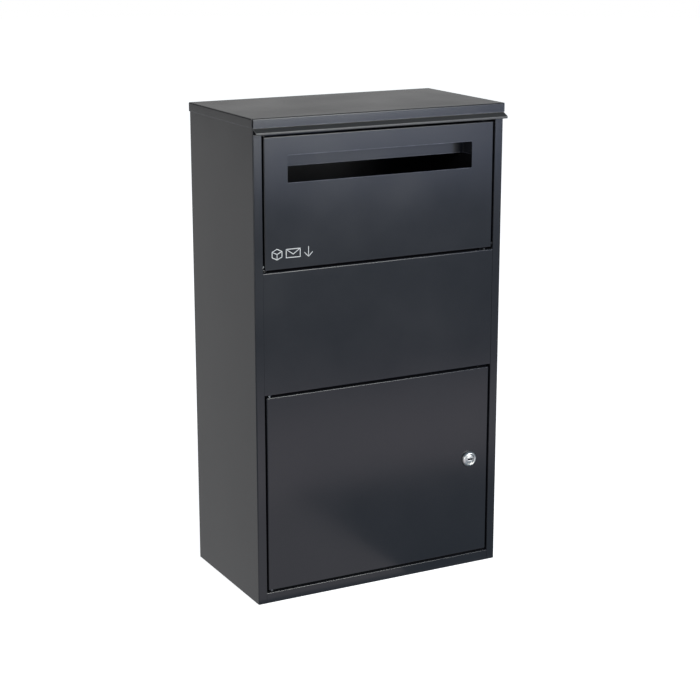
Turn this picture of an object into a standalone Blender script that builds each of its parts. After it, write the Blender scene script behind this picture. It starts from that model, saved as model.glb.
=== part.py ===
"""Parcel drop box: a sheet-steel cabinet with a tip-out parcel door, a letter slot and a lockable
collection door.

Units are metres, +Z is up, -Y is the front. The origin is the centre of the footprint, on the floor.
Sizes inside the functions are measured from the front plane of the cabinet (y) and the floor (z).
"""
import math

import bmesh
import bpy
from mathutils import Matrix, Vector

MM = 0.001

# Cabinet
WIDTH = 370 * MM
DEPTH = 200 * MM
HEIGHT = 650 * MM
SHEET = 1.2 * MM
JOIN = 0.3 * MM               # air between two neighbouring pieces
REVEAL = 3.0 * MM             # visible gap around each door
STILE = 12.2 * MM             # face width of the front edge of a side panel
RAIL_RETURN = 14.0 * MM       # how far the front rails turn inwards
STOP_LIP = 12.2 * MM          # width of the lip that the doors close against
STOP_DEPTH = 15.0 * MM        # distance of that lip behind the front plane
BEND = 1.0 * MM
CUT_LENGTH = 10.0 * MM        # length of a round cutter that goes through one sheet
SHARP_ANGLE = 40.0            # degrees; a steeper corner of a round piece isn't shaded smooth

# Lid and drip rail
RIM = 12.0 * MM
LID_FRONT = 2.9 * MM
CORNER_SEAM = 1.0 * MM        # open seam between the front rim and a side rim
DRIP_REACH = 11.0 * MM
DRIP_SHEET = 1.0 * MM
DRIP_AIR = 0.4 * MM           # from the front plane to the back of the hidden flange
DRIP_TOP = 646.0 * MM         # top edge of the flange hidden by the rim
DRIP_BEND_Z = 637.0 * MM
DRIP_LIP_HIGH = 632.8 * MM
DRIP_LIP_LOW = 630.4 * MM
DRIP_HEM_Y = -1.4 * MM
DRIP_HEM_Z = 629.6 * MM

# Front panels, from the floor up
BOTTOM_RAIL_TOP = 14.6 * MM
COLLECTION_TOP = 285.7 * MM
MIDDLE_TOP = 451.8 * MM
PARCEL_TOP = 625.9 * MM
FLANGE = 10.0 * MM            # depth of the folded edge of a door

# Back panel, wall bolts and baffle
BACK_FLANGE = 13.0 * MM
BOLT_HOLE_X = 120 * MM
BOLT_HOLE_Z = {"lower": 80 * MM, "upper": 560 * MM}
BOLT_HOLE_R = 4.5 * MM
BAFFLE_TOP = 494 * MM
BAFFLE_BEND_Z = 482 * MM
BAFFLE_EDGE_Y = 152 * MM
BAFFLE_EDGE_Z = 440 * MM

# Rubber bumpers: side of the cabinet and height
BUMPER_X = 167 * MM
BUMPERS = {
    "parcel_door_bumper_left": (-1, 612 * MM),
    "parcel_door_bumper_right": (1, 612 * MM),
    "collection_door_bumper_low": (1, 40 * MM),
    "collection_door_bumper_high": (1, 262 * MM),
}
BUMPER_R = 4.0 * MM
BUMPER_CHAMFER = 0.6 * MM
BUMPER_AIR = 0.4 * MM         # air between a shut door and its bumpers

# Letter slot and its hood
SLOT_WIDTH = 273.4 * MM
SLOT_LOW = 566.0 * MM
SLOT_HIGH = 601.0 * MM
HOOD_PLATE = 25.0 * MM        # distance of the hood's plate behind the front plane
HOOD_MARGIN = 2.5 * MM        # outside of the hood beyond each end of the slot
HOOD_LOW = 583.0 * MM
HOOD_HIGH = 605.0 * MM

# Parcel door hinge and hopper
TIP_Y = 5.0 * MM
TIP_Z = 459.0 * MM
TIP_OPEN = 50.0               # degrees
CHEEK_RADIUS = 130 * MM
CHEEK_X = 156 * MM            # inner face of a cheek
CHEEK_FRONT_LOW = 14 * MM     # lowest point of a cheek's front edge, above the hinge
CHEEK_HEEL = (10 * MM, -0.5 * MM)
TRAY_TOP_Z = 470 * MM
TRAY_FLANGE = 14 * MM
TRAY_FOLD = 10 * MM
TRAY_LENGTH = 150 * MM
TRAY_SLOPE = 45.0             # degrees below level when the door is shut
STOP_RADIUS = 110 * MM        # distance of a travel stop from the hinge
TRAVEL_STOP_R = 3.0 * MM
TRAVEL_STOP_LENGTH = 11 * MM

# Return springs of the parcel door
COIL_R = 2.45 * MM
COIL_TURNS = 4.75
COIL_STEPS = 57
COIL_INNER_X = 159.4 * MM
COIL_OUTER_X = 165.8 * MM
WIRE_R = 0.4 * MM
SPRING_LEG = 20 * MM
SPRING_FOOT_Y = 12.2 * MM
SPRING_FOOT_AIR = 0.8 * MM    # from the top of the middle panel to the end of the foot

# Collection door hinge
SWING_X = -164 * MM
SWING_Y = 5.0 * MM

# Pins and bushes
PIN_R = 1.5 * MM
PIN_HEAD_R = 3.0 * MM
PIN_HEAD = 1.2 * MM
PIN_TIP = 1.4 * MM            # how far a parcel door pin passes through the jamb
SWING_PIN_TIP = 2.0 * MM
BUSH_CLEARANCE = 0.15 * MM
BUSH_R = 2.3 * MM
BUSH_COLLAR_R = 3.1 * MM
BUSH_COLLAR = 0.6 * MM
SLEEVE = 1.8 * MM

# Cam lock
LOCK_X = 140 * MM
LOCK_Z = 156.3 * MM
BEZEL_R = 11.0 * MM
BEZEL_DOME = [(8.2, 5.4), (9.8, 4.6), (10.8, 2.8), (11.0, 1.2)]   # radius and height, in mm
BARREL_R = 9.2 * MM
BARREL_LENGTH = 14.0 * MM
PLUG_R = 6.2 * MM
PLUG_FACE = 4.2 * MM          # height of the plug's face above the door
PLUG_CHAMFER = 0.5 * MM
BORE_RIM = 4.6 * MM
KEYWAY = (8.8 * MM, 2.2 * MM) # width and height
KEYWAY_DEPTH = 5.2 * MM
STEM_R = 3.5 * MM
NUT_R = 13.0 * MM             # across the corners
NUT_THICK = 3.5 * MM
CAM_FRONT = 17.2 * MM         # distance of the cam behind the front plane
CAM_THICK = 2.0 * MM
CAM_LENGTH = 30 * MM
CAM_WIDTH = 16 * MM
CAM_CHAMFER = 3 * MM
SCREW_HEAD_R = 5.6 * MM
SCREW_HEAD = 3.0 * MM
SCREW_CHAMFER = 0.8 * MM

FRONT_Y = (DRIP_REACH - DEPTH) / 2
HALF = WIDTH / 2
INNER = HALF - SHEET - JOIN             # half the clear width between the side walls
OPENING = HALF - STILE                  # half the width between the stiles
DOOR_HALF = OPENING - REVEAL
COLLECTION_LOW = BOTTOM_RAIL_TOP + REVEAL
MIDDLE_LOW = COLLECTION_TOP + REVEAL
PARCEL_LOW = MIDDLE_TOP + REVEAL
HEADER_LOW = PARCEL_TOP + REVEAL
WALL_TOP = HEIGHT - SHEET - JOIN


# ---------------------------------------------------------------- scene and materials

def clear_scene():
    for obj in list(bpy.data.objects):
        bpy.data.objects.remove(obj, do_unlink=True)


def make_collection(name, hidden=False):
    collection = bpy.data.collections.new(name)
    bpy.context.scene.collection.children.link(collection)
    collection.hide_render = hidden
    return collection


def make_material(name, colour, roughness, metallic):
    material = bpy.data.materials.new(name)
    material.use_nodes = True
    shader = material.node_tree.nodes["Principled BSDF"]
    shader.inputs["Base Color"].default_value = (*colour, 1.0)
    shader.inputs["Roughness"].default_value = roughness
    shader.inputs["Metallic"].default_value = metallic
    material.diffuse_color = (*colour, 1.0)
    return material


clear_scene()
PARTS = make_collection("parcel_drop_box")
CUTTERS = make_collection("cutters", hidden=True)

FINISHES = {
    "powder_coat": ((0.060, 0.062, 0.070), 0.42, 0.0),
    "zinc_steel": ((0.66, 0.67, 0.69), 0.30, 1.0),
    "nickel": ((0.74, 0.73, 0.70), 0.18, 1.0),
    "nylon": ((0.030, 0.030, 0.032), 0.50, 0.0),
    "rubber": ((0.020, 0.020, 0.022), 0.85, 0.0),
}


# ---------------------------------------------------------------- building blocks

def point(x, y, z):
    """World position of a point given from the front plane and the floor."""
    return Vector((x, FRONT_Y + y, z))


def add_object(name, data, finish, parent=None):
    obj = bpy.data.objects.new(name, data)
    PARTS.objects.link(obj)
    data.materials.append(make_material(name, *FINISHES[finish]))
    if parent is not None:
        obj.parent = parent
        obj.matrix_parent_inverse = parent.matrix_world.inverted()
    return obj


def mesh_from(bm, name):
    bmesh.ops.recalc_face_normals(bm, faces=bm.faces)
    mesh = bpy.data.meshes.new(name)
    bm.to_mesh(mesh)
    bm.free()
    return mesh


def round_folds(bm, radius):
    folds = [edge for edge in bm.edges if len(edge.link_faces) == 2]
    bmesh.ops.bevel(bm, geom=folds, offset=radius, segments=2, profile=0.5, affect="EDGES")


def thicken(obj, thickness, offset):
    solidify = obj.modifiers.new("Solidify", "SOLIDIFY")
    solidify.thickness = thickness
    solidify.offset = offset
    solidify.use_even_offset = True


def box_bmesh(low, high):
    bm = bmesh.new()
    bmesh.ops.create_cube(bm, size=1.0)
    size = high - low
    bmesh.ops.scale(bm, vec=size, verts=bm.verts)
    bmesh.ops.translate(bm, vec=(low + high) / 2, verts=bm.verts)
    return bm


def folded_box(name, low, high, open_sides, parent=None):
    """A box of bent sheet with some sides left open; low and high are its outer corners."""
    bm = box_bmesh(low, high)
    bm.faces.ensure_lookup_table()
    bmesh.ops.recalc_face_normals(bm, faces=bm.faces)
    removed = [face for face in bm.faces
               if any(face.normal.dot(Vector(side)) > 0.9 for side in open_sides)]
    bmesh.ops.delete(bm, geom=removed, context="FACES")
    round_folds(bm, BEND)
    mesh = bpy.data.meshes.new(name)
    bm.to_mesh(mesh)
    bm.free()
    obj = add_object(name, mesh, "powder_coat", parent)
    thicken(obj, SHEET, -1.0)
    return obj


def folded_strip(name, outline, span, along, thickness=SHEET, parent=None):
    """A bent sheet of constant section. outline runs down the middle of the sheet."""
    def place(pair, distance):
        if along == "X":
            return point(distance, *pair)
        return point(*pair, distance)

    bm = bmesh.new()
    verts = [bm.verts.new(place(pair, span[0])) for pair in outline]
    edges = [bm.edges.new(pair) for pair in zip(verts, verts[1:])]
    pulled = bmesh.ops.extrude_edge_only(bm, edges=edges)["geom"]
    moved = [item for item in pulled if isinstance(item, bmesh.types.BMVert)]
    travel = place(outline[0], span[1]) - place(outline[0], span[0])
    bmesh.ops.translate(bm, vec=travel, verts=moved)
    round_folds(bm, BEND)
    obj = add_object(name, mesh_from(bm, name), "powder_coat", parent)
    thicken(obj, thickness, 0.0)
    return obj


def turned(name, outline, centre, facing, finish, parent=None, closed=False, steps=32):
    """A lathe-turned piece. outline holds (radius, height) pairs down the outer side, and height
    is measured from centre towards facing."""
    bm = bmesh.new()
    verts = [bm.verts.new((radius, 0.0, height)) for radius, height in outline]
    pairs = list(zip(verts, verts[1:]))
    if closed:
        pairs.append((verts[-1], verts[0]))
    for pair in pairs:
        bm.edges.new(pair)
    mesh = bpy.data.meshes.new(name)
    bm.to_mesh(mesh)
    bm.free()
    obj = add_object(name, mesh, finish, parent)
    turn = Vector((0, 0, 1)).rotation_difference(Vector(facing)).to_matrix().to_4x4()
    obj.matrix_basis = Matrix.Translation(centre) @ turn
    screw = obj.modifiers.new("Screw", "SCREW")
    screw.steps = steps
    screw.render_steps = steps
    screw.use_merge_vertices = True
    screw.merge_threshold = 0.00001
    shade_round(obj)
    return obj


def shade_round(obj):
    """Turns the modifiers into the object's own mesh, shaded smooth between its sharp corners."""
    bpy.context.view_layer.update()
    mesh = bpy.data.meshes.new_from_object(obj.evaluated_get(bpy.context.evaluated_depsgraph_get()))
    mesh.shade_smooth()
    mesh.set_sharp_from_angle(angle=math.radians(SHARP_ANGLE))
    obj.modifiers.clear()
    obj.data = mesh


def cutter(name, bm):
    obj = bpy.data.objects.new(name, mesh_from(bm, name))
    CUTTERS.objects.link(obj)
    obj.hide_render = True
    obj.display_type = "WIRE"
    return obj


def round_cutter(name, centre, direction, radius, sides=32):
    bm = bmesh.new()
    bmesh.ops.create_cone(bm, cap_ends=True, segments=sides, radius1=radius, radius2=radius,
                          depth=CUT_LENGTH)
    turn = Vector((0, 0, 1)).rotation_difference(Vector(direction)).to_matrix().to_4x4()
    bmesh.ops.transform(bm, matrix=Matrix.Translation(centre) @ turn, verts=bm.verts)
    return cutter(name, bm)


def cut(obj, tool):
    boolean = obj.modifiers.new("Cut " + tool.name, "BOOLEAN")
    boolean.operation = "DIFFERENCE"
    boolean.solver = "EXACT"
    boolean.object = tool


def flat_plate(name, outlines, thickness, placement, finish, parent=None):
    """A flat plate cut to closed outlines; inner outlines are holes."""
    curve = bpy.data.curves.new(name, "CURVE")
    curve.dimensions = "2D"
    curve.fill_mode = "BOTH"
    curve.extrude = thickness / 2
    for outline in outlines:
        spline = curve.splines.new("POLY")
        spline.points.add(len(outline) - 1)
        for spline_point, (u, v) in zip(spline.points, outline):
            spline_point.co = (u, v, 0.0, 1.0)
        spline.use_cyclic_u = True
    obj = add_object(name, curve, finish, parent)
    obj.matrix_basis = placement
    return obj


def arc(radius, start, end, count, centre=(0.0, 0.0)):
    """Points on an arc, with angles in degrees."""
    angles = [math.radians(start + (end - start) * step / count) for step in range(count + 1)]
    return [(centre[0] + radius * math.cos(a), centre[1] + radius * math.sin(a)) for a in angles]


def joint_empty(name, position, parent=None):
    empty = bpy.data.objects.new(name, None)
    PARTS.objects.link(empty)
    empty.empty_display_size = 0.02
    empty.location = position
    bpy.context.view_layer.update()
    if parent is not None:
        empty.parent = parent
        empty.matrix_parent_inverse = parent.matrix_world.inverted()
        bpy.context.view_layer.update()
    return empty


# ---------------------------------------------------------------- cabinet

def build_walls():
    half_sheet = SHEET / 2
    for label, side in (("left", -1), ("right", 1)):
        wall = side * (HALF - half_sheet)
        outline = [(wall, DEPTH), (wall, half_sheet), (side * OPENING, half_sheet)]
        folded_strip(label + "_side_panel", outline, (0.0, WALL_TOP), "Z")
        fold = side * (OPENING + half_sheet)
        lip = side * (OPENING - STOP_LIP)
        lip_y = STOP_DEPTH + half_sheet
        outline = [(fold, SHEET + JOIN), (fold, lip_y), (lip, lip_y)]
        jamb = folded_strip(label + "_door_jamb", outline, (SHEET + JOIN, WALL_TOP), "Z")
        hole_centre = point(fold, TIP_Y, TIP_Z)
        cut(jamb, round_cutter(label + "_jamb_hole", hole_centre, (1, 0, 0), BUSH_R + JOIN))


def build_back():
    """The rear sheet, with folded edges and four holes for wall bolts."""
    flange_x = INNER - SHEET / 2
    face_y = DEPTH - SHEET / 2
    edge_y = face_y - BACK_FLANGE
    outline = [(-flange_x, edge_y), (-flange_x, face_y), (flange_x, face_y), (flange_x, edge_y)]
    panel = folded_strip("back_panel", outline, (SHEET + JOIN, WALL_TOP), "Z")
    for row, z in BOLT_HOLE_Z.items():
        for label, side in (("left", -1), ("right", 1)):
            centre = point(side * BOLT_HOLE_X, face_y, z)
            cut(panel, round_cutter(f"{row}_{label}_bolt_hole", centre, (0, 1, 0), BOLT_HOLE_R))


def build_base():
    bm = box_bmesh(point(-INNER, SHEET + JOIN, 0.0), point(INNER, DEPTH, SHEET))
    add_object("base_panel", mesh_from(bm, "base_panel"), "powder_coat")


def build_front_rails():
    half_sheet = SHEET / 2
    span = (-OPENING + JOIN, OPENING - JOIN)
    top = BOTTOM_RAIL_TOP - half_sheet
    outline = [(RAIL_RETURN, top), (half_sheet, top), (half_sheet, 0.0)]
    bottom_rail = folded_strip("bottom_rail", outline, span, "X")
    low = MIDDLE_LOW + half_sheet
    high = MIDDLE_TOP - half_sheet
    outline = [(RAIL_RETURN, low), (half_sheet, low), (half_sheet, high), (RAIL_RETURN, high)]
    middle = folded_strip("middle_panel", outline, span, "X")
    low = HEADER_LOW + half_sheet
    outline = [(RAIL_RETURN, low), (half_sheet, low), (half_sheet, WALL_TOP)]
    folded_strip("header_rail", outline, span, "X")
    for rail, z in ((bottom_rail, BOTTOM_RAIL_TOP - half_sheet), (middle, MIDDLE_LOW + half_sheet)):
        hole_centre = point(SWING_X, SWING_Y, z)
        cut(rail, round_cutter(rail.name + "_pin_hole", hole_centre, (0, 0, 1), BUSH_R + JOIN))


def build_lid():
    """The cover plate with its three rims. The rims meet in open seams at the front corners."""
    half_lid = HALF + SHEET + JOIN
    low = point(-half_lid, -LID_FRONT, HEIGHT - RIM)
    high = point(half_lid, DEPTH, HEIGHT)
    lid = folded_box("top_lid", low, high, [(0, 0, -1), (0, 1, 0)])
    seam_front = -LID_FRONT + SHEET
    for label, side in (("left", -1), ("right", 1)):
        inner_x = side * (half_lid - SHEET - JOIN)
        outer_x = side * (half_lid + SHEET)
        low = point(min(inner_x, outer_x), seam_front, HEIGHT - RIM - SHEET)
        high = point(max(inner_x, outer_x), seam_front + CORNER_SEAM, HEIGHT - SHEET - BEND)
        cut(lid, cutter(label + "_corner_seam", box_bmesh(low, high)))


def build_drip_rail():
    """The strip under the lid's front rim, flared forward to throw rain clear of the door."""
    flange = -(DRIP_AIR + DRIP_SHEET / 2)
    tip = -DRIP_REACH + DRIP_SHEET / 2
    outline = [(flange, DRIP_TOP), (flange, DRIP_BEND_Z), (tip, DRIP_LIP_HIGH), (tip, DRIP_LIP_LOW),
               (DRIP_HEM_Y, DRIP_HEM_Z)]
    folded_strip("drip_rail", outline, (-HALF, HALF), "X", thickness=DRIP_SHEET)


def build_baffle():
    """The fixed plate that stops a hand reaching past the open hopper."""
    face = DEPTH - SHEET - JOIN - SHEET / 2
    outline = [(face, BAFFLE_TOP), (face, BAFFLE_BEND_Z), (BAFFLE_EDGE_Y, BAFFLE_EDGE_Z)]
    half_span = INNER - SHEET - JOIN
    folded_strip("anti_theft_baffle", outline, (-half_span, half_span), "X")


def build_bumpers():
    thickness = STOP_DEPTH - JOIN - FLANGE - BUMPER_AIR
    outline = [(0.0, thickness), (BUMPER_R - BUMPER_CHAMFER, thickness),
               (BUMPER_R, thickness - BUMPER_CHAMFER), (BUMPER_R, 0.0), (0.0, 0.0)]
    for name, (side, z) in BUMPERS.items():
        centre = point(side * BUMPER_X, STOP_DEPTH - JOIN, z)
        turned(name, outline, centre, (0, -1, 0), "rubber", steps=20)


# ---------------------------------------------------------------- hinge pins and bushes

def bush(name, face, outward):
    """A flanged bush in a sheet. face is where the axis meets the sheet, outward faces the gap."""
    bore = PIN_R + BUSH_CLEARANCE
    outline = [(bore, BUSH_COLLAR + JOIN), (BUSH_COLLAR_R, BUSH_COLLAR + JOIN),
               (BUSH_COLLAR_R, JOIN), (BUSH_R, JOIN), (BUSH_R, -SLEEVE), (bore, -SLEEVE)]
    turned(name, outline, face, outward, "nylon", closed=True, steps=24)


def headed_pin(name, head_end, direction, length, parent):
    """A plain pin. Its head starts at head_end, and the shank runs along direction."""
    outline = [(0.0, length), (PIN_R, length), (PIN_R, PIN_HEAD), (PIN_HEAD_R, PIN_HEAD),
               (PIN_HEAD_R, 0.0), (0.0, 0.0)]
    turned(name, outline, head_end, direction, "zinc_steel", parent, steps=24)


def build_return_spring(name, side):
    """A torsion spring: one leg up the door, the other leg down on the middle panel."""
    path = [(COIL_INNER_X, TIP_Y - COIL_R, TIP_Z + SPRING_LEG)]
    for step in range(COIL_STEPS + 1):
        angle = math.pi + math.tau * COIL_TURNS * step / COIL_STEPS
        x = COIL_INNER_X + (COIL_OUTER_X - COIL_INNER_X) * step / COIL_STEPS
        path.append((x, TIP_Y + COIL_R * math.cos(angle), TIP_Z + COIL_R * math.sin(angle)))
    path.append((COIL_OUTER_X, SPRING_FOOT_Y, TIP_Z + COIL_R))
    path.append((COIL_OUTER_X, SPRING_FOOT_Y, MIDDLE_TOP + SPRING_FOOT_AIR))
    curve = bpy.data.curves.new(name, "CURVE")
    curve.dimensions = "3D"
    curve.bevel_depth = WIRE_R
    curve.bevel_resolution = 2
    curve.use_fill_caps = True
    spline = curve.splines.new("POLY")
    spline.points.add(len(path) - 1)
    for spline_point, (x, y, z) in zip(spline.points, path):
        spline_point.co = (*point(side * x, y, z), 1.0)
    add_object(name, curve, "zinc_steel")


# ---------------------------------------------------------------- parcel door

def build_parcel_door(hinge):
    low = point(-DOOR_HALF, 0.0, PARCEL_LOW)
    high = point(DOOR_HALF, FLANGE, PARCEL_TOP)
    skin = folded_box("parcel_door_skin", low, high, [(0, 1, 0)], parent=hinge)
    slot = box_bmesh(point(-SLOT_WIDTH / 2, -SHEET, SLOT_LOW),
                     point(SLOT_WIDTH / 2, 2 * SHEET, SLOT_HIGH))
    cut(skin, cutter("letter_slot_cutter", slot))

    hood_half = SLOT_WIDTH / 2 + HOOD_MARGIN
    low = point(-hood_half, SHEET + JOIN, HOOD_LOW)
    high = point(hood_half, HOOD_PLATE + SHEET, HOOD_HIGH)
    folded_box("letter_slot_hood", low, high, [(0, -1, 0), (0, 0, -1)], parent=hinge)

    for label, side in (("left", -1), ("right", 1)):
        flange = point(side * (DOOR_HALF - SHEET / 2), TIP_Y, TIP_Z)
        cut(skin, round_cutter(label + "_door_pin_hole", flange, (1, 0, 0), PIN_R + JOIN))
        bush("parcel_door_bush_" + label, point(side * OPENING, TIP_Y, TIP_Z), (-side, 0, 0))
        inner_end = CHEEK_X + SHEET + JOIN
        length = OPENING + SHEET + PIN_TIP - inner_end
        headed_pin("parcel_door_pin_" + label, point(side * inner_end, TIP_Y, TIP_Z), (side, 0, 0),
                   length, hinge)
        build_return_spring("return_spring_" + label, side)
        build_cheek(label, side, hinge)
    build_tray(hinge)


def build_cheek(label, side, hinge):
    """A sector-shaped side wall of the hopper, centred on the hinge, and its travel stop."""
    door_face = SHEET + JOIN - TIP_Y
    height = math.sqrt(CHEEK_RADIUS ** 2 - door_face ** 2)
    top_angle = math.degrees(math.atan2(height, door_face))
    outline = [(door_face, CHEEK_FRONT_LOW), (door_face, height)]
    outline += arc(CHEEK_RADIUS, top_angle, -TRAY_SLOPE, 24)[1:]
    outline.append(CHEEK_HEEL)
    centre_x = side * (CHEEK_X + SHEET / 2)
    upright = Matrix(((0, 0, 1, 0), (1, 0, 0, 0), (0, 1, 0, 0), (0, 0, 0, 1)))
    placement = Matrix.Translation(point(centre_x, TIP_Y, TIP_Z)) @ upright
    flat_plate("hopper_cheek_" + label, [outline], SHEET, placement, "powder_coat", hinge)

    reach = STOP_DEPTH + SHEET + TRAVEL_STOP_R + JOIN - TIP_Y
    angle = math.acos(reach / STOP_RADIUS) - math.radians(TIP_OPEN)
    inner_end = point(side * (CHEEK_X + SHEET + JOIN), TIP_Y + STOP_RADIUS * math.cos(angle),
                      TIP_Z + STOP_RADIUS * math.sin(angle))
    outline = [(0.0, TRAVEL_STOP_LENGTH), (TRAVEL_STOP_R, TRAVEL_STOP_LENGTH), (TRAVEL_STOP_R, 0.0),
               (0.0, 0.0)]
    turned("travel_stop_" + label, outline, inner_end, (side, 0, 0), "rubber", hinge, steps=20)


def build_tray(hinge):
    """The sloping floor of the hopper: a flange on the door, the slope, and a stiffening fold."""
    face = SHEET + JOIN + SHEET / 2
    slope = math.radians(TRAY_SLOPE)
    end = (face + TRAY_LENGTH * math.cos(slope), TRAY_TOP_Z - TRAY_LENGTH * math.sin(slope))
    fold = (end[0] - TRAY_FOLD * math.sin(slope), end[1] - TRAY_FOLD * math.cos(slope))
    outline = [(face, TRAY_TOP_Z + TRAY_FLANGE), (face, TRAY_TOP_Z), end, fold]
    half_span = CHEEK_X - JOIN
    folded_strip("hopper_tray", outline, (-half_span, half_span), "X", parent=hinge)


# ---------------------------------------------------------------- collection door and lock

def build_collection_door(hinge):
    low = point(-DOOR_HALF, 0.0, COLLECTION_LOW)
    high = point(DOOR_HALF, FLANGE, COLLECTION_TOP)
    skin = folded_box("collection_door_skin", low, high, [(0, 1, 0)], parent=hinge)
    cut(skin, round_cutter("lock_hole", point(LOCK_X, 0.0, LOCK_Z), (0, 1, 0), BARREL_R + JOIN))
    pin_length = PIN_HEAD + SHEET + REVEAL + SHEET + SWING_PIN_TIP
    ends = (("low", BOTTOM_RAIL_TOP, COLLECTION_LOW, 1), ("high", MIDDLE_LOW, COLLECTION_TOP, -1))
    for label, rail_z, edge_z, up in ends:
        flange = point(SWING_X, SWING_Y, edge_z + up * SHEET / 2)
        cut(skin, round_cutter(label + "_swing_pin_hole", flange, (0, 0, 1), PIN_R + JOIN))
        bush("collection_door_bush_" + label, point(SWING_X, SWING_Y, rail_z), (0, 0, up))
        head = point(SWING_X, SWING_Y, edge_z + up * (SHEET + JOIN + PIN_HEAD))
        headed_pin("collection_door_pin_" + label, head, (0, 0, -up), pin_length, hinge)


def build_lock(door_hinge, lock_hinge):
    centre = point(LOCK_X, 0.0, LOCK_Z)
    front = (0, -1, 0)
    bore = PLUG_R + JOIN
    outline = [(bore, BORE_RIM)]
    outline += [(radius * MM, height * MM) for radius, height in BEZEL_DOME]
    outline += [(BEZEL_R, JOIN), (BARREL_R, JOIN), (BARREL_R, -BARREL_LENGTH), (bore, -BARREL_LENGTH)]
    turned("lock_housing", outline, centre, front, "nickel", door_hinge, closed=True, steps=40)

    bm = bmesh.new()
    bmesh.ops.create_cone(bm, cap_ends=True, segments=6, radius1=NUT_R, radius2=NUT_R,
                          depth=NUT_THICK)
    nut_centre = point(LOCK_X, SHEET + JOIN + NUT_THICK / 2, LOCK_Z)
    turn = Matrix.Rotation(math.radians(90), 4, "X")
    bmesh.ops.transform(bm, matrix=Matrix.Translation(nut_centre) @ turn, verts=bm.verts)
    nut = add_object("lock_nut", mesh_from(bm, "lock_nut"), "zinc_steel", door_hinge)
    cut(nut, round_cutter("nut_bore", nut_centre, (0, 1, 0), BARREL_R + JOIN, sides=40))

    shoulder = JOIN - CAM_FRONT
    stem_end = -(CAM_FRONT + CAM_THICK)
    outline = [(0.0, PLUG_FACE), (PLUG_R - PLUG_CHAMFER, PLUG_FACE), (PLUG_R, PLUG_FACE - PLUG_CHAMFER),
               (PLUG_R, shoulder), (STEM_R, shoulder), (STEM_R, stem_end), (0.0, stem_end)]
    plug = turned("lock_plug", outline, centre, front, "nickel", lock_hinge, steps=32)
    half_key = Vector((KEYWAY[0] / 2, 0.0, KEYWAY[1] / 2))
    mouth = Vector((0.0, -PLUG_FACE - SHEET, 0.0))
    keyway = box_bmesh(centre + mouth - half_key,
                       centre + half_key + Vector((0.0, KEYWAY_DEPTH - PLUG_FACE, 0.0)))
    cut(plug, cutter("keyway_cutter", keyway))
    build_cam(lock_hinge)

    head = stem_end - JOIN
    outline = [(0.0, head), (SCREW_HEAD_R - SCREW_CHAMFER, head), (SCREW_HEAD_R, head - SCREW_CHAMFER),
               (SCREW_HEAD_R, head - SCREW_HEAD), (0.0, head - SCREW_HEAD)]
    turned("cam_screw", outline, centre, front, "zinc_steel", lock_hinge, steps=6)


def build_cam(lock_hinge):
    """The latch plate, hanging straight down while the door is unlocked."""
    half = CAM_WIDTH / 2
    outline = [(-half, 0.0), (-half, CAM_CHAMFER - CAM_LENGTH), (CAM_CHAMFER - half, -CAM_LENGTH),
               (half - CAM_CHAMFER, -CAM_LENGTH), (half, CAM_CHAMFER - CAM_LENGTH)]
    outline += arc(half, 0.0, 180.0, 16)[:-1]
    hole = arc(STEM_R + JOIN, 0.0, 360.0, 24)[:-1]
    upright = Matrix.Rotation(math.radians(90), 4, "X")
    centre = point(LOCK_X, CAM_FRONT + CAM_THICK / 2, LOCK_Z)
    flat_plate("lock_cam", [outline, hole], CAM_THICK, Matrix.Translation(centre) @ upright,
               "zinc_steel", lock_hinge)


def build_all():
    tip = joint_empty("parcel_door_axis", point(0.0, TIP_Y, TIP_Z))
    door_middle = (COLLECTION_LOW + COLLECTION_TOP) / 2
    swing = joint_empty("collection_door_axis", point(SWING_X, SWING_Y, door_middle))
    lock = joint_empty("lock_axis", point(LOCK_X, 0.0, LOCK_Z), swing)
    build_walls()
    build_back()
    build_base()
    build_front_rails()
    build_lid()
    build_drip_rail()
    build_baffle()
    build_bumpers()
    build_parcel_door(tip)
    build_collection_door(swing)
    build_lock(swing, lock)


build_all()
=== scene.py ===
import math

import bmesh
import bpy
from mathutils import Matrix, Vector


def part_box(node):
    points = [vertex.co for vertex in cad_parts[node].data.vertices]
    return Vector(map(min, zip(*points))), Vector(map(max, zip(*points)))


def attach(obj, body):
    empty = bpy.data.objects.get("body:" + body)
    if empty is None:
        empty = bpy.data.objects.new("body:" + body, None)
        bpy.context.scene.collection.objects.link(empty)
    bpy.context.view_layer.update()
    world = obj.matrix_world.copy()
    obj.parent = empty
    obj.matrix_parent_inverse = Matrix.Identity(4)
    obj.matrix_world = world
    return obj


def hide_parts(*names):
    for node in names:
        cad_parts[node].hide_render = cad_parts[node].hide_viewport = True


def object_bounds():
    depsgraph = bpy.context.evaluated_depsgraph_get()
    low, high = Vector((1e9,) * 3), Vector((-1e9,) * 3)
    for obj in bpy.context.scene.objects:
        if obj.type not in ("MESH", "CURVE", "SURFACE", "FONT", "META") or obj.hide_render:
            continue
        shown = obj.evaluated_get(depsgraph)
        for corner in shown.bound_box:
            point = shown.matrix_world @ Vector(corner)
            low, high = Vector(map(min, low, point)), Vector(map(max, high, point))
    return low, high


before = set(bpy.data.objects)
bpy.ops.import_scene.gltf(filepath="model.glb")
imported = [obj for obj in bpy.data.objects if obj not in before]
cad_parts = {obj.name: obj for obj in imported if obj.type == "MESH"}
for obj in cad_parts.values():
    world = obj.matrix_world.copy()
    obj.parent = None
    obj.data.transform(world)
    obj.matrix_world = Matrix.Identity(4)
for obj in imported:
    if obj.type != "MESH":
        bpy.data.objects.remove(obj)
CAD_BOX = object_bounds()

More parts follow.
